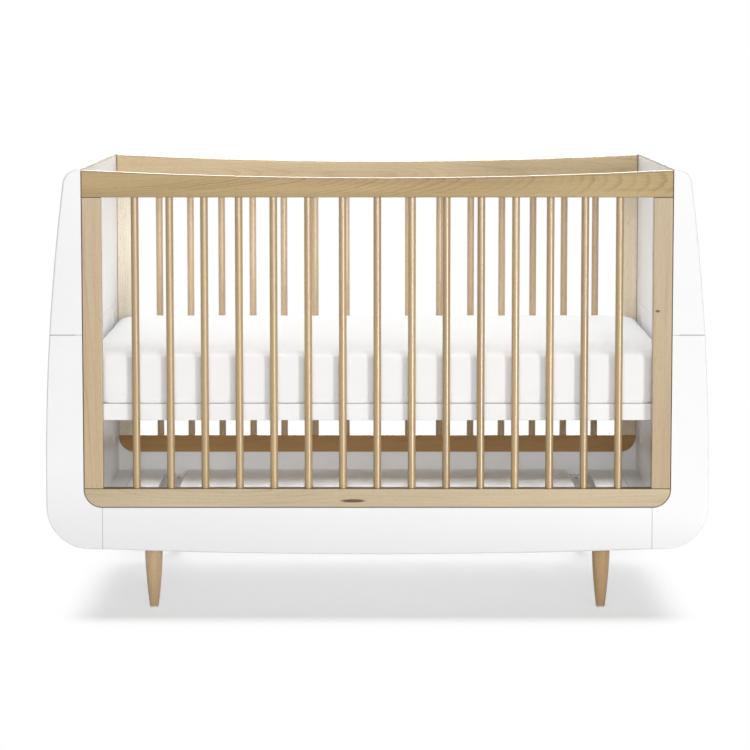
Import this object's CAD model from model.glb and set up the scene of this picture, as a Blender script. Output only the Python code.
# %% [markdown]
# # A baby crib
# The crib is already built as exact solids: two wooden side frames with round bars,
# two hollow white ends, a low white body on turned legs, and a mattress base that
# bolts on at three heights. This lesson dresses those solids. It gives each one a
# finish, replaces the plain mattress by a padded one, and lights the whole.
# Everything is in metres, and each solid keeps its own place.

# %% Load the solids
import bmesh
import bpy
from math import pi, radians
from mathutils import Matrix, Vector


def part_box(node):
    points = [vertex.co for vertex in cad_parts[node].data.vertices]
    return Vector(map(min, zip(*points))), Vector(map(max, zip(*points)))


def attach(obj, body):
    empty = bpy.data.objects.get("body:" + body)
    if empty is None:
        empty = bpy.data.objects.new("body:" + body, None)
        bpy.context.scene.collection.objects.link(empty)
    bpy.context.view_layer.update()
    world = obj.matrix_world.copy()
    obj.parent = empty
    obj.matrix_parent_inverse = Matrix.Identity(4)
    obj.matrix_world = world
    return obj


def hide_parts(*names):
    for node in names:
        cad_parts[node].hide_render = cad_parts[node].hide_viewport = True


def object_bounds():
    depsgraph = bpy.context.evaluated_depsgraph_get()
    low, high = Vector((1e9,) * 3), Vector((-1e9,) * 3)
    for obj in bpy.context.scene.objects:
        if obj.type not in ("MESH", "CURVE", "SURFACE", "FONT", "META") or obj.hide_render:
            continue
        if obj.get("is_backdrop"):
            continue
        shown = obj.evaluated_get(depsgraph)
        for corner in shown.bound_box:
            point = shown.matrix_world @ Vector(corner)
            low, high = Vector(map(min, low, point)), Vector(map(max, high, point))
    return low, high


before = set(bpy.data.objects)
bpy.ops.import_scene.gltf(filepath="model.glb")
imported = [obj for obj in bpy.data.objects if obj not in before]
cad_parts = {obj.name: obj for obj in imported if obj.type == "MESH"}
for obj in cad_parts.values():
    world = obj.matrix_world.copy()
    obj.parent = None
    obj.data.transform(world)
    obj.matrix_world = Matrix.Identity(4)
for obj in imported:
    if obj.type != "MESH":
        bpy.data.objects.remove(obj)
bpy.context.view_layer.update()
scene = bpy.context.scene

# %% [markdown]
# ## The camera
# A long lens a little above the top rail looks almost straight at the front. The
# long lens keeps the bars nearly parallel. A small downward shift keeps the upright
# lines upright, as a view camera does.

# %% Place the camera
LENS_MM = 121.15
EYE = (0.0, -5.591, 1.2005)
LOOK_DOWN = 5.094

lens = bpy.data.cameras.new("camera")
lens.lens = LENS_MM
lens.shift_x = -0.0031
lens.shift_y = -0.144
camera = bpy.data.objects.new("camera", lens)
camera.location = EYE
camera.rotation_euler = (radians(90 - LOOK_DOWN), 0, 0)
scene.collection.objects.link(camera)
scene.camera = camera
print("camera", tuple(round(value, 3) for value in camera.location))

# %% [markdown]
# ## Helpers for node trees
# Materials here are networks of small nodes. A few helpers keep them short: one adds
# a node and feeds its sockets, and the others do arithmetic, mix colours, move
# places and make noise. A colour is written the way a paint chart gives it, from 0
# to 255, and turned into the linear light that the renderer works with.

# %% Node helpers
def linear(red, green, blue):
    """A screen colour from 0 to 255 as linear light with full alpha."""
    def one(value):
        value /= 255
        return value / 12.92 if value <= 0.04045 else ((value + 0.055) / 1.055) ** 2.4
    return (one(red), one(green), one(blue), 1.0)


def add(tree, kind, feeds, **settings):
    """Adds a node, sets it up, and feeds its sockets with links or plain values."""
    node = tree.nodes.new(kind)
    for key, value in settings.items():
        setattr(node, key, value)
    for socket, value in feeds.items():
        if isinstance(value, bpy.types.NodeSocket):
            tree.links.new(value, node.inputs[socket])
        else:
            node.inputs[socket].default_value = value
    return node


def maths(tree, operation, first, second=0.0, third=0.0, clamp=False):
    """One step of arithmetic on plain numbers or links."""
    node = add(tree, "ShaderNodeMath", {0: first, 1: second, 2: third},
               operation=operation, use_clamp=clamp)
    return node.outputs[0]


def blend_colours(tree, share, first, second, way="MIX"):
    """Goes from the first colour to the second by a share from 0 to 1."""
    node = add(tree, "ShaderNodeMix", {0: share, 6: first, 7: second},
               data_type="RGBA", blend_type=way)
    return node.outputs[2]


def remap(tree, value, low, high, to_low, to_high):
    """Turns one range into another, with soft ends."""
    node = add(tree, "ShaderNodeMapRange", {0: value, 1: low, 2: high, 3: to_low, 4: to_high},
               interpolation_type="SMOOTHSTEP")
    return node.outputs[0]


def swing(tree, value, reach):
    """A value from 0 to 1 as plus or minus half a reach."""
    return maths(tree, "MULTIPLY_ADD", value, reach, -reach / 2)


def offset(tree, position, step, way="ADD"):
    """One step of vector arithmetic, by default a move."""
    return add(tree, "ShaderNodeVectorMath", {0: position, 1: step}, operation=way).outputs[0]


def stretch(tree, position, factors):
    """A place with each of its axes scaled."""
    return offset(tree, position, factors, "MULTIPLY")


def length(tree, vector):
    """The length of a vector."""
    node = add(tree, "ShaderNodeVectorMath", {0: vector}, operation="LENGTH")
    return node.outputs["Value"]


def reach_past(tree, first, second):
    """How far a place lies past two limits, with a round corner between them."""
    first = maths(tree, "MAXIMUM", first, 0.0)
    second = maths(tree, "MAXIMUM", second, 0.0)
    return length(tree, add(tree, "ShaderNodeCombineXYZ", {0: first, 1: second}).outputs[0])


def bumped(tree, height, strength, distance):
    """A surface direction that is tilted by small heights."""
    return add(tree, "ShaderNodeBump", {"Height": height, "Strength": strength,
                                        "Distance": distance}).outputs[0]


def noise(tree, position, factors, detail=2.0, roughness=0.5):
    """Soft noise whose blotches are stretched by three factors, in blotches a metre."""
    node = add(tree, "ShaderNodeTexNoise", {"Vector": stretch(tree, position, factors),
               "Scale": 1.0, "Detail": detail, "Roughness": roughness})
    return node.outputs[0]


def new_group(name, inputs, outputs):
    """An empty shader group with named sockets; returns its tree and its two end nodes."""
    tree = bpy.data.node_groups.new(name, "ShaderNodeTree")
    for label, value in inputs.items():
        if isinstance(value, tuple):
            kind = "NodeSocketColor" if len(value) == 4 else "NodeSocketVector"
        else:
            kind = "NodeSocketFloat"
        socket = tree.interface.new_socket(label, in_out="INPUT", socket_type=kind)
        socket.default_value = value
    for label, kind in outputs.items():
        tree.interface.new_socket(label, in_out="OUTPUT", socket_type=kind)
    return tree, tree.nodes.new("NodeGroupInput"), tree.nodes.new("NodeGroupOutput")


SURFACE = {"Color": "NodeSocketColor", "Roughness": "NodeSocketFloat",
           "Height": "NodeSocketFloat"}


def answer(tree, result, *values):
    """Hands a surface group's colour, roughness and height to its output node."""
    for label, value in zip(SURFACE, values):
        tree.links.new(value, result.inputs[label])
    return tree


print("helpers ready; mid grey is", round(linear(128, 128, 128)[0], 3))

# %% [markdown]
# ## Floor, world and lamps
# The crib stands on a white floor in front of white. The camera sees the floor as
# white that is half self-lit, so the shadow under the crib stays soft and pale. Light
# that bounces sees an ordinary matt floor. The world does the same: it is plain
# white to the camera and to reflections, and a gentler light on the object. The
# floor takes a shadow only in a rounded box round the crib. Past it the floor fades
# to that same white, so that the rim of its disc never shows.

# %% The floor and the world
FLOOR_RADIUS = 1.85
SHADOW_SHARE = 0.62
SELF_LIT = 0.50
SHADOW_BOX = (0.57, 0.37)
SHADOW_FADE = 0.11


def blank_material(name):
    """A material without nodes, and its tree."""
    material = bpy.data.materials.new(name)
    material.use_nodes = True
    material.node_tree.nodes.clear()
    return material, material.node_tree


def seen_plainly(tree):
    """1 for a ray that leads to the eye, also by a mirror or through glass."""
    rays = add(tree, "ShaderNodeLightPath", {}).outputs
    seen = maths(tree, "MAXIMUM", rays["Is Camera Ray"], rays["Is Glossy Ray"])
    return maths(tree, "MAXIMUM", seen, rays["Is Transmission Ray"])


def build_floor_material():
    """White near the object that takes a shadow, and plain white further out."""
    material, tree = blank_material("studio_floor")
    seen = seen_plainly(tree)
    place = add(tree, "ShaderNodeTexCoord", {}).outputs["Object"]
    axes = add(tree, "ShaderNodeSeparateXYZ", {0: place}).outputs
    past = [maths(tree, "SUBTRACT", maths(tree, "ABSOLUTE", axis), reach)
            for axis, reach in zip(axes, SHADOW_BOX)]
    speckle = noise(tree, place, (30, 30, 30))
    matt = blend_colours(tree, speckle, (0.80, 0.80, 0.80, 1), (0.82, 0.82, 0.82, 1))
    bounce = add(tree, "ShaderNodeBsdfDiffuse", {"Color": matt})
    catcher = add(tree, "ShaderNodeBsdfDiffuse", {"Color": (SHADOW_SHARE,) * 3 + (1,)})
    glow = add(tree, "ShaderNodeEmission", {"Color": (1, 1, 1, 1), "Strength": SELF_LIT})
    near = add(tree, "ShaderNodeAddShader", {0: catcher.outputs[0], 1: glow.outputs[0]})
    far = add(tree, "ShaderNodeEmission", {"Color": (1, 1, 1, 1), "Strength": 1.0})
    fade = remap(tree, reach_past(tree, *past), 0.0, SHADOW_FADE, 0, 1)
    shown = add(tree, "ShaderNodeMixShader", {0: fade, 1: near.outputs[0], 2: far.outputs[0]})
    floor = add(tree, "ShaderNodeMixShader", {0: seen, 1: bounce.outputs[0], 2: shown.outputs[0]})
    add(tree, "ShaderNodeOutputMaterial", {"Surface": floor.outputs[0]})
    return material


disc = bmesh.new()
bmesh.ops.create_circle(disc, cap_ends=True, segments=128, radius=FLOOR_RADIUS)
floor_mesh = bpy.data.meshes.new("floor")
disc.to_mesh(floor_mesh)
disc.free()
floor = bpy.data.objects.new("floor", floor_mesh)
scene.collection.objects.link(floor)
floor.data.materials.append(build_floor_material())
floor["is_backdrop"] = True

WORLD_LIGHT = 0.13

world = bpy.data.worlds.new("studio")
world.use_nodes = True
scene.world = world
sky = world.node_tree
sky.nodes.clear()
seen = seen_plainly(sky)
soft = add(sky, "ShaderNodeBackground", {"Color": (1, 1, 1, 1), "Strength": WORLD_LIGHT})
plain = add(sky, "ShaderNodeBackground", {"Color": (1, 1, 1, 1), "Strength": 1.0})
both = add(sky, "ShaderNodeMixShader", {0: seen, 1: soft.outputs[0], 2: plain.outputs[0]})
add(sky, "ShaderNodeOutputWorld", {"Surface": both.outputs[0]})
scene.view_settings.view_transform = "Standard"
print("floor radius", FLOOR_RADIUS, "m; world light", WORLD_LIGHT)

# %% [markdown]
# The key lamp is a soft box far away at the front right. A smaller, stronger one
# under it reaches below the floor's level, where a camera that looks slightly down
# sees upright bars mirror the light, so it draws a bright line down each bar. Both
# are narrow, which keeps the bars' shadows on the mattress clear. A wide lamp
# overhead lightens the mattress and the inner end walls, a low one in front reaches
# under the mattress base, and one behind fills the floor panel, which would
# otherwise lie in the dark.

# %% The lamps
def soft_box(name, size, place, target, watts):
    """Hangs a rectangular area lamp at a place, turned towards a target."""
    lamp = bpy.data.lights.new(name, "AREA")
    lamp.shape = "RECTANGLE"
    lamp.size, lamp.size_y = size
    lamp.energy = watts
    holder = bpy.data.objects.new(name, lamp)
    holder.location = place
    aim = Vector(target) - Vector(place)
    holder.rotation_euler = aim.to_track_quat("-Z", "Y").to_euler()
    scene.collection.objects.link(holder)
    return holder


lamps = [soft_box(*lamp) for lamp in (
    ("key_lamp", (2.5, 4.2), (5.8, -10.3, 3.3), (0.0, 0.0, 0.5), 160),
    ("strip_lamp", (2.0, 1.8), (5.8, -10.3, -0.9), (0.0, 0.0, 0.5), 425),
    ("top_lamp", (5.2, 1.0), (0.0, 0.14, 3.0), (0.0, 0.1, 0.0), 57),
    ("front_lamp", (2.4, 0.9), (0.0, -5.1, 1.15), (0.0, 0.0, 0.4), 106),
    ("back_lamp", (3.0, 1.5), (0.0, 4.2, 2.2), (0.0, 0.0, 0.3), 160))]
print("lamps:", [lamp.name for lamp in lamps])

# %% [markdown]
# ## Beech
# The frames, bars and legs are beech: pale, warm, with soft growth rings, fine
# fibres and short brown flecks. The grain is made the way a board gets it. Rings
# are circles round the middle of a trunk that lies a little askew to the board, so
# a flat cut through them shows long pointed arches, and an edge shows lines.
# The group works in the board's own frame, where X runs along the grain.

# %% The wood group
KNOT_REACH = (0.030, 0.050, 0.0042)
KNOT_BROWN = linear(88, 56, 32)
KNOT_BEND = 0.0045
RING_SWAY = 0.05
RING_FRAY = 0.0022


def build_wood_group():
    """Beech as a shader group: growth rings, fibres, flecks and one knot."""
    tree, given, result = new_group(
        "beech_grain",
        {"Position": (0.0, 0.0, 0.0), "Pith Y": 0.06, "Pith Z": 0.01, "Slope": 0.03,
         "Ring Width": 0.0034, "Ring Strength": 0.5, "Tone": 0.5,
         "Knot Place": (9.0, 9.0, 9.0), "Knot Size": 1.0, "Pale": linear(214, 190, 153),
         "Warm": linear(199, 168, 124), "Ring Colour": linear(176, 140, 96),
         "Fleck Colour": linear(150, 112, 72)},
        SURFACE)
    socket = given.outputs
    place = socket["Position"]
    axes = add(tree, "ShaderNodeSeparateXYZ", {0: place}).outputs
    sway = noise(tree, place, (1.7, 4.0, 4.0), 1.0)
    sway = swing(tree, sway, RING_SWAY)
    rough_edge = noise(tree, place, (14.0, 160.0, 160.0), 2.0)
    rough_edge = swing(tree, rough_edge, RING_FRAY)
    off_y = maths(tree, "SUBTRACT", axes[1], socket["Pith Y"])
    off_y = maths(tree, "ADD", off_y, sway)
    off_y = maths(tree, "ADD", off_y, maths(tree, "MULTIPLY", axes[0], socket["Slope"]))
    off_z = maths(tree, "SUBTRACT", axes[2], socket["Pith Z"])
    off_z = maths(tree, "ADD", off_z, maths(tree, "MULTIPLY", sway, 0.6))
    square = maths(tree, "MULTIPLY", off_y, off_y)
    square = maths(tree, "MULTIPLY_ADD", off_z, off_z, square)
    radius = maths(tree, "ADD", maths(tree, "SQRT", square), rough_edge)
    knot_gap = offset(tree, place, socket["Knot Place"], "SUBTRACT")
    knot_gap = stretch(tree, knot_gap, tuple(1 / reach for reach in KNOT_REACH))
    knot_gap = maths(tree, "DIVIDE", length(tree, knot_gap), socket["Knot Size"])
    knot = remap(tree, knot_gap, 0.6, 1.05, 1, 0)
    around = remap(tree, knot_gap, 0.5, 4.0, KNOT_BEND, 0)
    radius = maths(tree, "ADD", radius, around)
    turns = maths(tree, "DIVIDE", radius, socket["Ring Width"])
    phase = maths(tree, "FRACT", turns)
    ring = add(tree, "ShaderNodeValToRGB", {0: phase})
    ramp = ring.color_ramp
    ramp.elements[0].position, ramp.elements[0].color = 0.0, (0.25, 0.25, 0.25, 1)
    ramp.elements[1].position, ramp.elements[1].color = 1.0, (0.35, 0.35, 0.35, 1)
    for spot, level in ((0.10, 0.0), (0.55, 0.12), (0.86, 0.85), (0.93, 1.0)):
        ramp.elements.new(spot).color = (level, level, level, 1)
    count = maths(tree, "FLOOR", turns)
    year = add(tree, "ShaderNodeTexWhiteNoise", {"W": count}, noise_dimensions="1D").outputs[0]
    year = maths(tree, "MULTIPLY_ADD", year, 0.8, 0.2)
    patch = noise(tree, place, (3.0, 30.0, 30.0), 2.0)
    patch = remap(tree, patch, 0.32, 0.68, 0.12, 1.0)
    ring_share = maths(tree, "MULTIPLY", ring.outputs[0], year)
    ring_share = maths(tree, "MULTIPLY", ring_share, patch)
    ring_share = maths(tree, "MULTIPLY", ring_share, socket["Ring Strength"])
    fibre = noise(tree, place, (9.0, 620.0, 620.0), 3.0, 0.6)
    streak = noise(tree, place, (2.2, 75.0, 75.0), 2.0)
    cloud = noise(tree, place, (2.6, 13.0, 13.0), 1.0)
    fleck = noise(tree, place, (260.0, 1500.0, 1500.0), 0.0)
    fleck = remap(tree, fleck, 0.66, 0.76, 0, 1)
    dash = noise(tree, place, (60.0, 330.0, 330.0), 1.0)
    dash = remap(tree, dash, 0.60, 0.78, 0, 1)
    tone = maths(tree, "ADD", swing(tree, cloud, 0.9), socket["Tone"])
    tone = maths(tree, "ADD", tone, swing(tree, streak, 0.8), clamp=True)
    colour = blend_colours(tree, tone, socket["Pale"], socket["Warm"])
    colour = blend_colours(tree, ring_share, colour, socket["Ring Colour"])
    grey = remap(tree, fibre, 0.25, 0.75, 1.05, 0.93)
    shade = add(tree, "ShaderNodeCombineColor", {0: grey, 1: grey, 2: grey}).outputs[0]
    colour = blend_colours(tree, 1.0, colour, shade, "MULTIPLY")
    colour = blend_colours(tree, maths(tree, "MULTIPLY", dash, 0.28), colour,
                           socket["Fleck Colour"])
    colour = blend_colours(tree, maths(tree, "MULTIPLY", fleck, 0.5), colour,
                           socket["Fleck Colour"])
    colour = blend_colours(tree, knot, colour, KNOT_BROWN)
    height = maths(tree, "MULTIPLY_ADD", fibre, 0.5, 0.5)
    height = maths(tree, "SUBTRACT", height, maths(tree, "MULTIPLY", fleck, 0.6))
    height = maths(tree, "SUBTRACT", height, maths(tree, "MULTIPLY", ring_share, 0.5))
    gloss = maths(tree, "MULTIPLY_ADD", fibre, 0.12, 0.27)
    gloss = maths(tree, "ADD", gloss, maths(tree, "MULTIPLY", ring_share, 0.05))
    return answer(tree, result, colour, gloss, height)


WOOD_GROUP = build_wood_group()
print("wood group nodes:", len(WOOD_GROUP.nodes))

# %% [markdown]
# Each piece of wood comes from a different part of the trunk. A material therefore
# names the direction of its grain, the place of the trunk's middle, and an offset.
# Where one solid holds fifteen bars, the bar's number is worked out from its place
# along the crib, and moves that bar to its own part of the trunk. Dust darkens the
# fine joints between boards and the outer border of a side frame, and hands tone its
# top edge. Only the boards whose joints are listed get these marks.

# %% Wood materials
ORDERS = {"X": (0, 1, 2), "Y": (1, 0, 2), "Z": (2, 0, 1)}
JOINT_HALF, JOINT_SHARE = 0.0009, 0.75
BORDER_START, BORDER_FULL, BORDER_SHARE = 0.0022, 0.0008, 0.7
SEAM_BROWN = linear(92, 64, 38)
HANDLED_TONE, HANDLED_SHARE = linear(122, 94, 60), 0.4
MID_TONE, BAR_TONES = 0.5, 0.7
BAR_SPREAD = (3.0, 0.03, 0.03)
FRAME_SIDE, FRAME_FOOT, FRAME_CORNER = 0.6135, 0.230, 0.038
RAIL_FOOT, RAIL_HEAD = 0.2695, 0.880


def line_mask(tree, value, centre, half):
    """1 on a thin line where a value passes its centre, with soft sides."""
    gap = maths(tree, "ABSOLUTE", maths(tree, "SUBTRACT", value, centre))
    return remap(tree, gap, half * 0.6, half * 1.6, 1, 0)


def lacquered(material, colour, gloss, bump, coat=0.0, shine=0.5):
    """Finishes a material with one Principled shader."""
    tree = material.node_tree
    shader = add(tree, "ShaderNodeBsdfPrincipled",
                 {"Base Color": colour, "Roughness": gloss, "Normal": bump,
                  "Coat Weight": coat, "Coat Roughness": 0.22, "Specular IOR Level": shine})
    add(tree, "ShaderNodeOutputMaterial", {"Surface": shader.outputs[0]})
    return material


def frame_border(tree, axes):
    """1 on the thin border of a side frame, which has rounded lower corners."""
    side = maths(tree, "ABSOLUTE", axes[0])
    past_side = maths(tree, "SUBTRACT", side, FRAME_SIDE - FRAME_CORNER)
    past_foot = maths(tree, "SUBTRACT", FRAME_FOOT + FRAME_CORNER, axes[2])
    return remap(tree, reach_past(tree, past_side, past_foot), FRAME_CORNER - BORDER_START,
                 FRAME_CORNER - BORDER_FULL, 0, 1)


def wood(name, grain, shift, bar_pitch=0.0, coat=0.0, shine=0.5, joints=(), **values):
    """Beech with its grain along one axis; shift picks the part of the trunk.

    Joints are heights where two boards meet, and where dust darkens the fine gap.
    A board with joints also has the frame's dark border, and top edges toned by hands.
    """
    material, tree = blank_material(name)
    place = add(tree, "ShaderNodeTexCoord", {}).outputs["Object"]
    axes = add(tree, "ShaderNodeSeparateXYZ", {0: place}).outputs
    order = ORDERS[grain]
    own = {spot: axes[axis] for spot, axis in enumerate(order)}
    own = add(tree, "ShaderNodeCombineXYZ", own).outputs[0]
    moved = offset(tree, own, shift)
    board = add(tree, "ShaderNodeGroup", {}, node_tree=WOOD_GROUP)
    for label, value in values.items():
        board.inputs[label].default_value = value
    if bar_pitch:
        number = maths(tree, "ROUND", maths(tree, "DIVIDE", axes[0], bar_pitch))
        chance = add(tree, "ShaderNodeTexWhiteNoise", {"W": number},
                     noise_dimensions="1D").outputs
        moved = offset(tree, moved, stretch(tree, chance["Color"], BAR_SPREAD))
        centre = maths(tree, "MULTIPLY", number, -bar_pitch)
        recentre = add(tree, "ShaderNodeCombineXYZ", {order.index(0): centre}).outputs[0]
        moved = offset(tree, moved, recentre)
        tone = maths(tree, "MULTIPLY_ADD", chance["Value"], BAR_TONES,
                     MID_TONE - BAR_TONES / 2)
        tree.links.new(tone, board.inputs["Tone"])
    tree.links.new(moved, board.inputs["Position"])
    colour = board.outputs["Color"]
    for height in joints:
        seam = line_mask(tree, axes[2], height, JOINT_HALF)
        colour = blend_colours(tree, maths(tree, "MULTIPLY", seam, JOINT_SHARE), colour,
                               SEAM_BROWN)
    if joints:
        border = maths(tree, "MULTIPLY", frame_border(tree, axes), BORDER_SHARE)
        colour = blend_colours(tree, border, colour, SEAM_BROWN)
        facing = add(tree, "ShaderNodeTexCoord", {}).outputs["Normal"]
        upward = add(tree, "ShaderNodeSeparateXYZ", {0: facing}).outputs[2]
        handled = remap(tree, upward, 0.3, 0.9, 0, HANDLED_SHARE)
        colour = blend_colours(tree, handled, colour, HANDLED_TONE)
    bump = bumped(tree, board.outputs["Height"], 0.25, 0.0004)
    return lacquered(material, colour, board.outputs["Roughness"], bump, coat, shine)


def stained(red, green, blue):
    """The three colours of a board whose mean colour on a paint chart is given."""
    mean = linear(red, green, blue)
    shades = {"Pale": (1.14, 1.15, 1.18), "Warm": (0.86, 0.84, 0.79),
              "Ring Colour": (0.66, 0.60, 0.50)}
    return {label: tuple(part * factor for part, factor in zip(mean, factors)) + (1.0,)
            for label, factors in shades.items()}


FRONT_PITCH = 0.0720
REAR_PITCH = 0.0736
FINISHES = {
    "front_top_rail": wood("beech_front_top_rail", "X", (0.40, 0.361, -0.905), Slope=0.12,
                           shine=0.04, joints=(RAIL_HEAD,), **stained(188, 165, 125),
                           **{"Pith Y": -0.048, "Pith Z": 0.036, "Ring Strength": 1.0}),
    "rear_top_rail": wood("beech_rear_top_rail", "X", (2.10, -0.361, -0.905), Slope=-0.035,
                          shine=0.04, joints=(RAIL_HEAD,), **stained(212, 191, 156),
                          **{"Pith Y": -0.05, "Pith Z": -0.012}),
    "front_bottom_rail": wood("beech_front_bottom_rail", "X", (1.30, 0.361, -0.25), Slope=0.02,
                              joints=(RAIL_FOOT,), **stained(193, 175, 144),
                              **{"Pith Y": 0.07, "Pith Z": 0.03,
                                 "Knot Place": (1.249, -0.012, -0.006)}),
    "rear_bottom_rail": wood("beech_rear_bottom_rail", "X", (4.10, -0.361, -0.25), Slope=0.03,
                             **stained(172, 128, 68),
                             **{"Pith Y": -0.06, "Pith Z": 0.02}),
    "front_post_left": wood("beech_front_post_left", "Z", (0.6, 0.593, 0.361), Slope=0.05,
                            joints=(RAIL_FOOT, RAIL_HEAD), **stained(190, 168, 134),
                            **{"Pith Y": 0.03, "Pith Z": 0.05}),
    "front_post_right": wood("beech_front_post_right", "Z", (2.9, -0.593, 0.361), Slope=-0.045,
                             joints=(RAIL_FOOT, RAIL_HEAD), **stained(184, 163, 131),
                             **{"Pith Y": -0.02, "Pith Z": 0.045, "Ring Strength": 0.7,
                                "Knot Place": (3.543, -0.010, -0.012), "Knot Size": 0.11}),
    "rear_post_left": wood("beech_rear_post_left", "Z", (5.2, 0.593, -0.361), Slope=0.01,
                           **stained(240, 231, 213),
                           **{"Pith Y": -0.08, "Pith Z": -0.16}),
    "rear_post_right": wood("beech_rear_post_right", "Z", (7.7, -0.593, -0.361), Slope=-0.01,
                            **stained(238, 223, 199),
                            **{"Pith Y": 0.02, "Pith Z": -0.08}),
}
FRONT_BEECH = wood("beech_front_bars", "Z", (0.3, 0, 0.361), FRONT_PITCH, 1.0, Slope=0.02,
                   **stained(174, 146, 98),
                   **{"Pith Y": 0.05, "Pith Z": 0.05, "Ring Width": 0.0028})
REAR_BEECH = wood("beech_rear_bars", "Z", (6.3, 0, -0.361), REAR_PITCH, 0.8, Slope=0.02,
                  **stained(200, 174, 138),
                  **{"Pith Y": 0.05, "Pith Z": -0.05, "Ring Width": 0.0028})
FINISHES["front_bars"], FINISHES["rear_bars"] = FRONT_BEECH, REAR_BEECH
LEG_X = {"left": -0.476, "right": 0.476}
LEG_Y = {"front": -0.288, "rear": 0.307}
LEG_TONES = {"left": (204, 176, 138), "right": (187, 154, 112)}
LEG_STEP = 1.7
for number, (face, side) in enumerate((face, side) for face in LEG_Y for side in LEG_X):
    FINISHES[f"leg_{face}_{side}"] = wood(
        f"beech_leg_{face}_{side}", "Z", (LEG_STEP * number, -LEG_X[side], -LEG_Y[face]),
        Slope=0.05, **stained(*LEG_TONES[side]),
        **{"Pith Y": 0.03, "Pith Z": 0.02, "Ring Width": 0.003})
print("wood materials:", len(FINISHES))

# %% [markdown]
# ## White lacquer
# The ends, aprons and base are sprayed with white satin lacquer. Close up it is not
# perfectly flat: the spray leaves a faint orange-peel ripple, and the board under it
# a slow unevenness. The colour hardly changes, and the gloss changes a little. Thin
# grey lines mark where the apron meets the ends and where each end comes in two.

# %% The lacquer group and its materials
SEAM_HALF, SPLIT_HALF = 0.0006, 0.0008
SPLIT_FROM = 0.6285
CRACK_GREY, CRACK_SHARE = linear(120, 120, 122), 0.6


def build_lacquer_group():
    """Sprayed lacquer as a shader group, with the seams of the white body."""
    tree, given, result = new_group(
        "sprayed_lacquer",
        {"Position": (0.0, 0.0, 0.0), "Paint": (0.87, 0.87, 0.87, 1.0),
         "Shade": (0.85, 0.852, 0.852, 1.0), "Gloss": 0.24, "Peel": 420.0,
         "Seam Side": 0.5755, "Seam Top": 0.2295, "Split Height": 0.593},
        SURFACE)
    socket = given.outputs
    place = socket["Position"]
    cloud = noise(tree, place, (3.5, 3.5, 3.5), 2.0)
    speck = noise(tree, place, (900.0, 900.0, 900.0), 0.0)
    fine = add(tree, "ShaderNodeTexNoise", {"Vector": place, "Scale": socket["Peel"],
                                            "Detail": 2.0}).outputs[0]
    colour = blend_colours(tree, remap(tree, cloud, 0.3, 0.7, 0, 0.6), socket["Paint"],
                           socket["Shade"])
    colour = blend_colours(tree, remap(tree, speck, 0.72, 0.8, 0, 0.25), colour, socket["Shade"])
    axes = add(tree, "ShaderNodeSeparateXYZ", {0: place}).outputs
    side = maths(tree, "ABSOLUTE", axes[0])
    low_down = maths(tree, "LESS_THAN", axes[2], socket["Seam Top"])
    seam = line_mask(tree, side, socket["Seam Side"], SEAM_HALF)
    seam = maths(tree, "MULTIPLY", seam, low_down)
    outside = maths(tree, "GREATER_THAN", side, SPLIT_FROM)
    split = line_mask(tree, axes[2], socket["Split Height"], SPLIT_HALF)
    split = maths(tree, "MULTIPLY", split, outside)
    crack = maths(tree, "MULTIPLY", maths(tree, "MAXIMUM", seam, split), CRACK_SHARE)
    colour = blend_colours(tree, crack, colour, CRACK_GREY)
    gloss = maths(tree, "ADD", swing(tree, cloud, 0.06), swing(tree, fine, 0.05))
    gloss = maths(tree, "ADD", gloss, socket["Gloss"])
    height = maths(tree, "MULTIPLY_ADD", cloud, 0.4, fine)
    return answer(tree, result, colour, gloss, height)


LACQUER_GROUP = build_lacquer_group()
LACQUER_SHINE = 0.32


def sprayed(name, bump_depth=0.00006, **values):
    """White lacquer, powder coat or moulded plastic, by its group values."""
    material, tree = blank_material(name)
    place = add(tree, "ShaderNodeTexCoord", {}).outputs["Object"]
    paint = add(tree, "ShaderNodeGroup", {}, node_tree=LACQUER_GROUP)
    tree.links.new(place, paint.inputs["Position"])
    for label, value in values.items():
        paint.inputs[label].default_value = value
    bump = bumped(tree, paint.outputs["Height"], 0.35, bump_depth)
    return lacquered(material, paint.outputs["Color"], paint.outputs["Roughness"], bump,
                     shine=LACQUER_SHINE)


END_WHITE = sprayed("white_lacquer_ends")
BASE_WHITE = sprayed("white_lacquer_base", Gloss=0.30, Paint=(0.82, 0.82, 0.82, 1.0))
INSIDE_WHITE = sprayed("white_lacquer_inside", Gloss=0.34, Peel=300.0,
                       Paint=(0.93, 0.94, 0.95, 1.0), Shade=(0.91, 0.92, 0.93, 1.0))
STRIP_WHITE = sprayed("white_powder_steel", 0.00012, Gloss=0.42, Peel=1300.0)
print("lacquer group nodes:", len(LACQUER_GROUP.nodes))

# %% Give every solid its finish
def plain_metal(name, tint, gloss):
    """Metal with fine drawn lines and slow patches."""
    material, tree = blank_material(name)
    place = add(tree, "ShaderNodeTexCoord", {}).outputs["Object"]
    grain = noise(tree, place, (2500.0, 400.0, 400.0), 3.0)
    cloud = noise(tree, place, (60.0, 60.0, 60.0), 2.0)
    dark = tuple(value * 0.8 for value in tint[:3]) + (1,)
    colour = blend_colours(tree, cloud, tint, dark)
    rough = maths(tree, "MULTIPLY_ADD", grain, 0.15, gloss)
    bump = bumped(tree, grain, 0.2, 0.00003)
    shader = add(tree, "ShaderNodeBsdfPrincipled",
                 {"Base Color": colour, "Roughness": rough, "Normal": bump, "Metallic": 1.0})
    add(tree, "ShaderNodeOutputMaterial", {"Surface": shader.outputs[0]})
    return material


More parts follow.
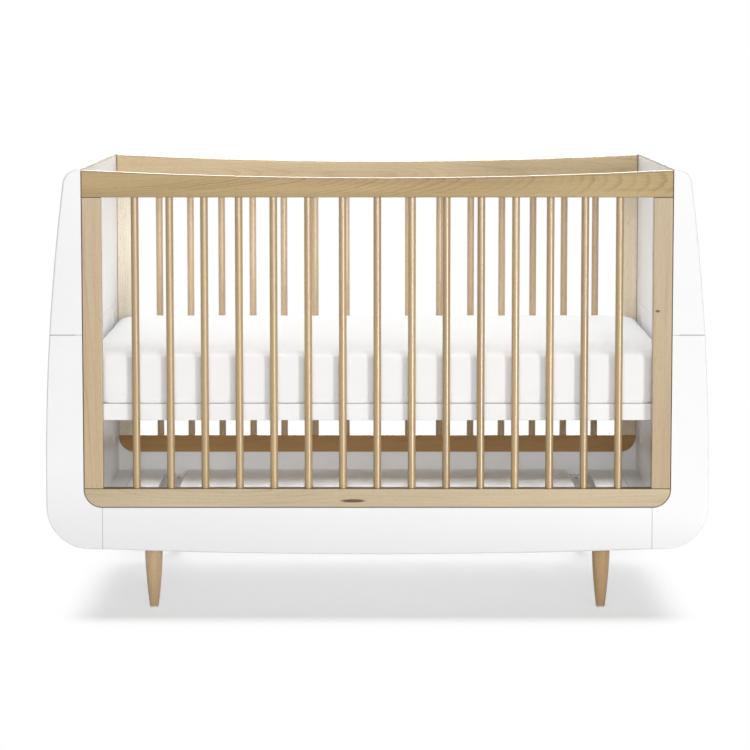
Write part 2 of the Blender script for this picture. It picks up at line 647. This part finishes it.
ZINC = plain_metal("zinc_plated_steel", linear(200, 202, 204), 0.26)
NYLON = sprayed("white_nylon", 0.0001, Paint=linear(226, 226, 222), Shade=linear(214, 214, 208),
                Gloss=0.42, Peel=900.0)
SLAT_COUNT, SLAT_PITCH = 13, 0.088
BIRCH = {"Slope": 0.02, "Pith Y": 0.09, "Pith Z": 0.04, "Pale": linear(226, 206, 170),
         "Warm": linear(212, 187, 145), "Ring Strength": 0.35}
PLY = wood("birch_ply_slats", "Y", (0.2, 0.1, 0.1), SLAT_PITCH, **BIRCH)
SPINE = wood("birch_ply_spine", "X", (3.2, 0.0, -0.42), **BIRCH)
DOWEL = wood("beech_dowels", "X", (8.2, 0.0, 0.0), Slope=0.02, **{"Pith Y": 0.02})

# A finish for each slot of the record; every other piece is white lacquer.
SLOT_FINISH = {"zinc_steel": ZINC, "nylon": NYLON, "slat_ply": PLY,
               "white_steel": STRIP_WHITE, "dowel_wood": DOWEL}
SIDED = [f"{piece}_{side}" for piece in ("end_floor", "lower_end_wall", "upper_end_wall")
         for side in ("left", "right")]
SPECIAL = dict.fromkeys(["bottom_panel", "rear_apron"] + SIDED, INSIDE_WHITE)
SPECIAL.update(dict.fromkeys(["base_front_rail", "base_rear_rail", "base_end_rail_left",
                              "base_end_rail_right"], BASE_WHITE))
SPECIAL["base_spine"] = SPINE


def slot_of(solid):
    """The record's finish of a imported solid, as its imported material is named."""
    return solid.data.materials[0].name.split(".")[0]


for name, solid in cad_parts.items():
    finish = FINISHES.get(name) or SPECIAL.get(name) or SLOT_FINISH.get(slot_of(solid), END_WHITE)
    for index in range(len(solid.data.materials)):
        solid.data.materials[index] = finish
    for slot in solid.material_slots:
        slot.material = finish
print("solids with a finish:", sum(bool(o.material_slots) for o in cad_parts.values()))

# %% [markdown]
# ## Geometry Nodes for what repeats
# Bars, slats and screws are rows of one shape, so a small network of geometry nodes
# makes each row from a few named sizes. The result is turned into a plain mesh at
# once, which keeps it safe for later steps. The helpers copy what modifiers make,
# start and end a tree, lay a row, and run a tree as a piece.

# %% Helpers for pieces and geometry trees
def evaluated_mesh(thing):
    """A plain mesh of what the modifiers make of an object."""
    bpy.context.view_layer.update()
    graph = bpy.context.evaluated_depsgraph_get()
    return bpy.data.meshes.new_from_object(thing.evaluated_get(graph), depsgraph=graph)


def settle(thing):
    """Applies what the modifiers make, and removes them."""
    made = evaluated_mesh(thing)
    thing.modifiers.clear()
    old, thing.data = thing.data, made
    bpy.data.meshes.remove(old)


def new_piece(name, mesh):
    """Puts a mesh into the scene as a new object."""
    piece = bpy.data.objects.new(name, mesh)
    scene.collection.objects.link(piece)
    return piece


SOCKET_KINDS = {float: "NodeSocketFloat", int: "NodeSocketInt"}


def new_shape_tree(name, sizes):
    """An empty geometry tree with named sizes; returns its tree and its two end nodes."""
    tree = bpy.data.node_groups.new(name, "GeometryNodeTree")
    tree.interface.new_socket("Geometry", in_out="INPUT", socket_type="NodeSocketGeometry")
    for label, value in sizes.items():
        socket = tree.interface.new_socket(label, in_out="INPUT",
                                           socket_type=SOCKET_KINDS[type(value)])
        socket.default_value = value
    tree.interface.new_socket("Finish", in_out="INPUT", socket_type="NodeSocketMaterial")
    tree.interface.new_socket("Geometry", in_out="OUTPUT", socket_type="NodeSocketGeometry")
    return tree, tree.nodes.new("NodeGroupInput"), tree.nodes.new("NodeGroupOutput")


def close_tree(tree, given, result, shape):
    """Ends a tree: instances become real geometry and get the finish."""
    real = add(tree, "GeometryNodeRealizeInstances", {"Geometry": shape}).outputs[0]
    done = add(tree, "GeometryNodeSetMaterial",
               {"Geometry": real, "Material": given.outputs["Finish"]}).outputs[0]
    tree.links.new(done, result.inputs["Geometry"])
    return tree


def grow(name, tree, finish, body, sizes, points=None):
    """Runs a tree on a mesh of points, and returns the plain mesh as a riding piece."""
    piece = new_piece(name, points or bpy.data.meshes.new(name))
    modifier = piece.modifiers.new(name, "NODES")
    modifier.node_group = tree
    values = dict(sizes, Finish=finish)
    for item in tree.interface.items_tree:
        if item.in_out == "INPUT" and item.name in values:
            modifier[item.identifier] = values[item.name]
    settle(piece)
    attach(piece, body)
    print(name, "faces", len(piece.data.polygons))
    return piece


def vector(tree, x=0.0, y=0.0, z=0.0):
    """A vector from three numbers or links."""
    return add(tree, "ShaderNodeCombineXYZ", {0: x, 1: y, 2: z}).outputs[0]


def row_along_x(tree, size, shape, across, up):
    """Copies a shape along X by the sizes Count and Pitch, centred on X = 0."""
    gaps = maths(tree, "SUBTRACT", size["Count"], 1.0)
    first = maths(tree, "MULTIPLY", maths(tree, "MULTIPLY", gaps, size["Pitch"]), -0.5)
    line = add(tree, "GeometryNodeMeshLine",
               {"Count": size["Count"], "Start Location": vector(tree, first, across, up),
                "Offset": vector(tree, size["Pitch"])}, mode="OFFSET")
    return add(tree, "GeometryNodeInstanceOnPoints",
               {"Points": line.outputs[0], "Instance": shape}).outputs[0]


print("geometry helpers ready")

# %% [markdown]
# ## Round bars
# Each side frame has fifteen beech dowels between its rails. They are true round
# rods, and their long straight highlight only looks right when the sides are shaded
# smooth and the flat ends are not. One cylinder repeated along a line does it.

# %% Rows of bars
def build_bar_tree():
    """A row of upright round bars."""
    tree, given, result = new_shape_tree(
        "bar_row", {"Count": 15, "Pitch": 0.072, "Radius": 0.0082, "Foot": 0.27,
                    "Top": 0.88, "Row": -0.361, "Sides": 40})
    size = given.outputs
    tall = maths(tree, "SUBTRACT", size["Top"], size["Foot"])
    middle = maths(tree, "MULTIPLY", maths(tree, "ADD", size["Top"], size["Foot"]), 0.5)
    rod = add(tree, "GeometryNodeMeshCylinder",
              {"Vertices": size["Sides"], "Side Segments": 6, "Radius": size["Radius"],
               "Depth": tall}, fill_type="NGON")
    ends = add(tree, "FunctionNodeBooleanMath", {0: rod.outputs["Top"], 1: rod.outputs["Bottom"]},
               operation="OR").outputs[0]
    smooth = add(tree, "GeometryNodeSetShadeSmooth",
                 {"Geometry": rod.outputs["Mesh"], "Selection": ends, "Shade Smooth": False},
                 domain="EDGE")
    row = row_along_x(tree, size, smooth.outputs[0], size["Row"], middle)
    return close_tree(tree, given, result, row)


BAR_TREE = build_bar_tree()
for face, pitch, finish in (("front", FRONT_PITCH, FRONT_BEECH), ("rear", REAR_PITCH, REAR_BEECH)):
    low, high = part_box(f"{face}_bars")
    bars = grow(f"{face}_round_bars", BAR_TREE, finish, "crib_frame",
                {"Pitch": pitch, "Foot": low[2], "Top": high[2],
                 "Radius": (high[1] - low[1]) / 2, "Row": (high[1] + low[1]) / 2})
    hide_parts(f"{face}_bars")

# %% [markdown]
# ## Slats
# The mattress lies on thirteen slats of birch ply. Real ones have their long edges
# rounded over. A rectangle with its corners filleted, swept along a short line,
# gives one slat, and a row of copies gives the bed.

# %% The row of slats
def build_slat_tree():
    """A row of slats with rounded long edges."""
    tree, given, result = new_shape_tree(
        "slat_row", {"Count": SLAT_COUNT, "Pitch": SLAT_PITCH, "Wide": 0.06, "Long": 0.67,
                     "Thick": 0.01, "Rounding": 0.003, "Middle": 0.44})
    size = given.outputs
    section = add(tree, "GeometryNodeCurvePrimitiveQuadrilateral",
                  {"Width": size["Wide"], "Height": size["Thick"]}, mode="RECTANGLE")
    section = add(tree, "GeometryNodeFilletCurve",
                  {"Curve": section.outputs[0], "Count": 4, "Radius": size["Rounding"]},
                  mode="POLY")
    half = maths(tree, "MULTIPLY", size["Long"], 0.5)
    other = maths(tree, "MULTIPLY", size["Long"], -0.5)
    run = add(tree, "GeometryNodeCurvePrimitiveLine",
              {"Start": vector(tree, 0.0, other), "End": vector(tree, 0.0, half)})
    run = add(tree, "GeometryNodeSetCurveNormal", {"Curve": run.outputs[0]}, mode="Z_UP")
    slat = add(tree, "GeometryNodeCurveToMesh",
               {"Curve": run.outputs[0], "Profile Curve": section.outputs[0], "Fill Caps": True})
    row = row_along_x(tree, size, slat.outputs[0], 0.0, size["Middle"])
    return close_tree(tree, given, result, row)


low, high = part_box("base_slats")
slat_wide = high[0] - low[0] - (SLAT_COUNT - 1) * SLAT_PITCH
slat_top, slat_end = high[2], high[1]
slats = grow("sprung_slats", build_slat_tree(), PLY, "mattress_base",
             {"Pitch": SLAT_PITCH, "Wide": slat_wide, "Long": high[1] - low[1],
              "Thick": high[2] - low[2], "Middle": (high[2] + low[2]) / 2})
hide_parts("base_slats")
print("slats", SLAT_COUNT, "wide", round(slat_wide, 4))

# %% [markdown]
# ## Screws
# A countersunk screw at each end holds a slat down in the rail's rebate. The head is
# a shallow cone with a cross cut into it. The tree puts one on every point it is
# given, turned to the way the point faces, and spins each by its own amount, since
# real screws never stop at the same angle.

# %% Screw heads on points
def build_screw_tree():
    """A countersunk head with a cross on every point."""
    tree, given, result = new_shape_tree(
        "screw_heads", {"Radius": 0.0038, "Deep": 0.0022, "Cross": 0.0046, "Seed": 4})
    size = given.outputs
    head = add(tree, "GeometryNodeMeshCone",
               {"Vertices": 24, "Radius Top": size["Radius"],
                "Radius Bottom": maths(tree, "MULTIPLY", size["Radius"], 0.5),
                "Depth": size["Deep"]})
    blades = []
    for long, wide in ((1.0, 0.2), (0.2, 1.0)):
        blade = add(tree, "GeometryNodeMeshCube",
                    {"Size": vector(tree, maths(tree, "MULTIPLY", size["Cross"], long),
                                    maths(tree, "MULTIPLY", size["Cross"], wide),
                                    size["Deep"])})
        blades.append(blade.outputs["Mesh"])
    cross = add(tree, "GeometryNodeJoinGeometry", {})
    for blade in blades:
        tree.links.new(blade, cross.inputs[0])
    cross = add(tree, "GeometryNodeTransform",
                {"Geometry": cross.outputs[0],
                 "Translation": vector(tree, 0.0, 0.0, size["Deep"])})
    cut = add(tree, "GeometryNodeMeshBoolean", {"Mesh 1": head.outputs["Mesh"],
                                                "Mesh 2": cross.outputs[0]},
              operation="DIFFERENCE")
    facing = add(tree, "GeometryNodeInputNamedAttribute", {"Name": "facing"},
                 data_type="FLOAT_VECTOR").outputs[0]
    turned = add(tree, "FunctionNodeAlignRotationToVector", {"Vector": facing}, axis="Z")
    spin = add(tree, "FunctionNodeRandomValue", {"Seed": size["Seed"]}, data_type="FLOAT")
    own_turn = vector(tree, 0.0, 0.0, maths(tree, "MULTIPLY", spin.outputs["Value"], pi))
    spun = add(tree, "FunctionNodeRotateRotation",
               {"Rotation": turned.outputs[0], "Rotate By": own_turn}, rotation_space="LOCAL")
    heads = add(tree, "GeometryNodeInstanceOnPoints",
                {"Points": given.outputs["Geometry"], "Instance": cut.outputs[0],
                 "Rotation": spun.outputs[0]})
    return close_tree(tree, given, result, heads.outputs[0])


def point_mesh(name, points, facings):
    """A mesh of loose points, each with the way it faces as an attribute."""
    mesh = bpy.data.meshes.new(name)
    mesh.from_pydata(points, [], [])
    facing = mesh.attributes.new("facing", "FLOAT_VECTOR", "POINT")
    for entry, way in zip(facing.data, facings):
        entry.vector = way
    return mesh


SCREW_INSET, SCREW_SINK = 0.006, 0.0008
MIDDLE_SLAT = SLAT_COUNT // 2
spots = [((number - MIDDLE_SLAT) * SLAT_PITCH, side * (slat_end - SCREW_INSET),
          slat_top - SCREW_SINK) for number in range(SLAT_COUNT) for side in (-1, 1)]
grow("slat_screws", build_screw_tree(), ZINC, "mattress_base", {},
     point_mesh("slat_screw_points", spots, [(0, 0, 1)] * len(spots)))
print("screws:", len(spots))

# %% [markdown]
# ## The mattress
# A crib mattress is a foam block in a tight jersey cover. The foam pushes the cover
# out, so the faces are slightly crowned, the long edges are softly round, and only
# the underside is flat. Blowing up a slightly smaller block as cloth gives this
# shape, and a limit on how far each point may move keeps it a firm mattress. The
# block reaches below the underside, so that its swollen foot can be pressed flat.
# Cloth also draws its sides in, so they are stretched back to the full width.

# %% Blow up a smaller block
VOXEL = 0.0094
SHRINK = 0.0045
FOOT_SPARE = 0.011
FOOT_FOLD = 0.9
SIDE_SLACK = 0.0008
MOST_SWELL = 0.0062
PRESSURE = 4.0
CLOTH_FRAMES = 20
WELD_GAP = 1e-5
MERGE_GAP = 0.0012


def shrunk_copy(solid, name, amount, below):
    """A merged copy of a solid, smaller on every side, and reaching below its underside."""
    low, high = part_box(solid)
    low, high = Vector(low), Vector(high)
    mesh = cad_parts[solid].data.copy()
    mesh.materials.clear()
    shape = bmesh.new()
    shape.from_mesh(mesh)
    bmesh.ops.remove_doubles(shape, verts=shape.verts, dist=WELD_GAP)
    middle = (low + high) / 2
    anchor = Vector((middle.x, middle.y, high.z - amount))
    size = high - low
    shrink = Vector((-2 * amount, -2 * amount, below - amount))
    factor = Vector([(size[i] + shrink[i]) / size[i] for i in range(3)])
    for vertex in shape.verts:
        from_top = vertex.co - Vector((middle.x, middle.y, high.z))
        vertex.co = anchor + from_top * factor
    shape.to_mesh(mesh)
    shape.free()
    return new_piece(name, mesh)


pad = shrunk_copy("mattress", "mattress_pad", SHRINK, FOOT_SPARE)
remesh = pad.modifiers.new("remesh", "REMESH")
remesh.mode = "VOXEL"
remesh.voxel_size = VOXEL
settle(pad)
start = [vertex.co.copy() for vertex in pad.data.vertices]
print("block:", len(start), "points")

# %% Inflate it as cloth
def inflate(piece, pressure, frames):
    """Blows a closed mesh up as cloth for a number of frames."""
    cloth = piece.modifiers.new("cloth", "CLOTH")
    cloth.settings.quality = 5
    cloth.settings.tension_stiffness = 18
    cloth.settings.compression_stiffness = 18
    cloth.settings.bending_stiffness = 0.6
    cloth.settings.use_pressure = True
    cloth.settings.uniform_pressure_force = pressure
    cloth.settings.effector_weights.gravity = 0
    cloth.point_cache.frame_end = frames
    for frame_number in range(1, frames + 1):
        scene.frame_set(frame_number)
    settle(piece)
    scene.frame_set(1)


inflate(pad, PRESSURE, CLOTH_FRAMES)
low, high = (Vector(corner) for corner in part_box("mattress"))
moved = 0.0
for vertex, before in zip(pad.data.vertices, start):
    step = vertex.co - before
    if step.length > MOST_SWELL:
        step = step * (MOST_SWELL / step.length)
    place = before + step
    place.z = max(place.z, low.z)
    vertex.co = place
    moved = max(moved, step.length)
stretch_to = []
for axis in (0, 1):
    widest = max(abs(vertex.co[axis]) for vertex in pad.data.vertices)
    stretch_to.append((high[axis] - SIDE_SLACK) / widest)
for vertex in pad.data.vertices:
    vertex.co.x *= stretch_to[0]
    vertex.co.y *= stretch_to[1]
flat = bmesh.new()
flat.from_mesh(pad.data)
bmesh.ops.remove_doubles(flat, verts=flat.verts, dist=MERGE_GAP)
crease = flat.edges.layers.float.new("crease_edge")
for edge in flat.edges:
    at_foot = all(vertex.co.z < low.z + WELD_GAP for vertex in edge.verts)
    if at_foot and edge.calc_face_angle(0.0) > FOOT_FOLD:
        edge[crease] = 1.0
flat.to_mesh(pad.data)
flat.free()
print("largest swell", round(moved * 1000, 2), "mm; sides drawn in by",
      [round(1 - 1 / factor, 4) for factor in stretch_to], len(pad.data.vertices), "points")

# %% [markdown]
# The real mattress is a little higher along its far side than at the front, where
# the cover is pulled down. A smooth lift of a few millimetres does that. It fades
# to nothing at the underside, so that the mattress still rests flat on the slats.
# The lowest edge is tucked in, which leaves a thin dark line above the base.

# %% Crown the top and smooth it
REAR_LIFT = 0.0035
CROWN = 0.003
FOOT_TUCK = 0.004
FOOT_RISE = 0.012

for vertex in pad.data.vertices:
    point = vertex.co
    up = (point.z - low.z) / (high.z - low.z)
    across = (point.y - low.y) / (high.y - low.y)
    along = 2 * (point.x - low.x) / (high.x - low.x) - 1
    crown = CROWN * (1 - along ** 4) * max(0.0, 1 - (2 * across - 1) ** 4)
    tuck = FOOT_TUCK * max(0.0, 1 - (point.z - low.z) / FOOT_RISE) ** 2
    point.x *= 1 - tuck / high.x
    point.y *= 1 - tuck / high.y
    point.z += up ** 2 * (REAR_LIFT * max(0.0, min(1.0, across)) + crown)
smooth = pad.modifiers.new("smooth", "SUBSURF")
smooth.levels = smooth.render_levels = 1
settle(pad)
for face in pad.data.polygons:
    face.use_smooth = True
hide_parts("mattress")
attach(pad, "mattress")
top_of_pad = max(vertex.co.z for vertex in pad.data.vertices)
print("mattress top", round(top_of_pad, 4), "faces", len(pad.data.polygons))

# %% [markdown]
# The cover is a fine cotton knit. Under a lens its face shows columns of small V
# stitches. The pattern is drawn on whichever two directions a face lies in, so it
# needs no unwrapping, and it is kept shallow, since each stitch is about a
# millimetre wide.

# %% The knit group and the cover
def build_knit_group():
    """A fine knit as a shader group, drawn along the two axes of each face."""
    tree, given, result = new_group(
        "cotton_knit",
        {"Position": (0.0, 0.0, 0.0), "Normal": (0.0, 0.0, 1.0), "Stitches": 800.0,
         "Yarn": (0.90, 0.905, 0.915, 1.0), "Gap": (0.81, 0.82, 0.835, 1.0)},
        SURFACE)
    socket = given.outputs
    place = socket["Position"]
    axes = add(tree, "ShaderNodeSeparateXYZ", {0: place}).outputs
    facing = add(tree, "ShaderNodeSeparateXYZ", {0: socket["Normal"]}).outputs

    def stitch(column, row):
        """Rows of V stitches in two directions."""
        across = maths(tree, "FRACT", maths(tree, "MULTIPLY", column, socket["Stitches"]))
        arm = maths(tree, "ABSOLUTE", maths(tree, "SUBTRACT", across, 0.5))
        lean = maths(tree, "MULTIPLY", arm, 1.4)
        climb = maths(tree, "MULTIPLY_ADD", row, socket["Stitches"], lean)
        wave = maths(tree, "COSINE", maths(tree, "MULTIPLY", climb, 2 * pi))
        wave = maths(tree, "MULTIPLY_ADD", wave, 0.5, 0.5)
        rib = maths(tree, "SINE", maths(tree, "MULTIPLY", arm, 2 * pi))
        return maths(tree, "MULTIPLY", wave, maths(tree, "MULTIPLY_ADD", rib, 0.7, 0.3))

    def share(value):
        """How squarely a face looks along an axis."""
        return maths(tree, "POWER", maths(tree, "ABSOLUTE", value), 4.0)

    from_top = maths(tree, "MULTIPLY", stitch(axes[0], axes[1]), share(facing[2]))
    from_front = maths(tree, "MULTIPLY", stitch(axes[0], axes[2]), share(facing[1]))
    from_side = maths(tree, "MULTIPLY", stitch(axes[1], axes[2]), share(facing[0]))
    height = maths(tree, "ADD", maths(tree, "ADD", from_top, from_front), from_side)
    fuzz = noise(tree, place, (1600.0, 1600.0, 1600.0), 2.0)
    slub = noise(tree, place, (9.0, 55.0, 55.0), 2.0)
    lit = maths(tree, "MULTIPLY_ADD", height, 0.6, 0.4)
    lit = maths(tree, "ADD", lit, swing(tree, slub, 0.3), clamp=True)
    colour = blend_colours(tree, lit, socket["Gap"], socket["Yarn"])
    rough = maths(tree, "MULTIPLY_ADD", fuzz, 0.1, 0.82)
    height = maths(tree, "ADD", height, maths(tree, "MULTIPLY", fuzz, 0.35))
    return answer(tree, result, colour, rough, height)


KNIT_GROUP = build_knit_group()


def knitted(name):
    """Soft fabric from the knit group."""
    material, tree = blank_material(name)
    place = add(tree, "ShaderNodeTexCoord", {}).outputs
    knit = add(tree, "ShaderNodeGroup", {}, node_tree=KNIT_GROUP)
    tree.links.new(place["Object"], knit.inputs["Position"])
    tree.links.new(place["Normal"], knit.inputs["Normal"])
    bump = bumped(tree, knit.outputs["Height"], 0.35, 0.0004)
    shader = add(tree, "ShaderNodeBsdfPrincipled",
                 {"Base Color": knit.outputs["Color"], "Roughness": knit.outputs["Roughness"],
                  "Normal": bump, "Sheen Weight": 0.15, "Sheen Roughness": 0.5,
                  "Specular IOR Level": 0.25})
    add(tree, "ShaderNodeOutputMaterial", {"Surface": shader.outputs[0]})
    return material


pad.data.materials.clear()
pad.data.materials.append(knitted("white_cotton_knit"))
print("knit group nodes:", len(KNIT_GROUP.nodes))

low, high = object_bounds()
print("size", [round(b - a, 4) for a, b in zip(low, high)])
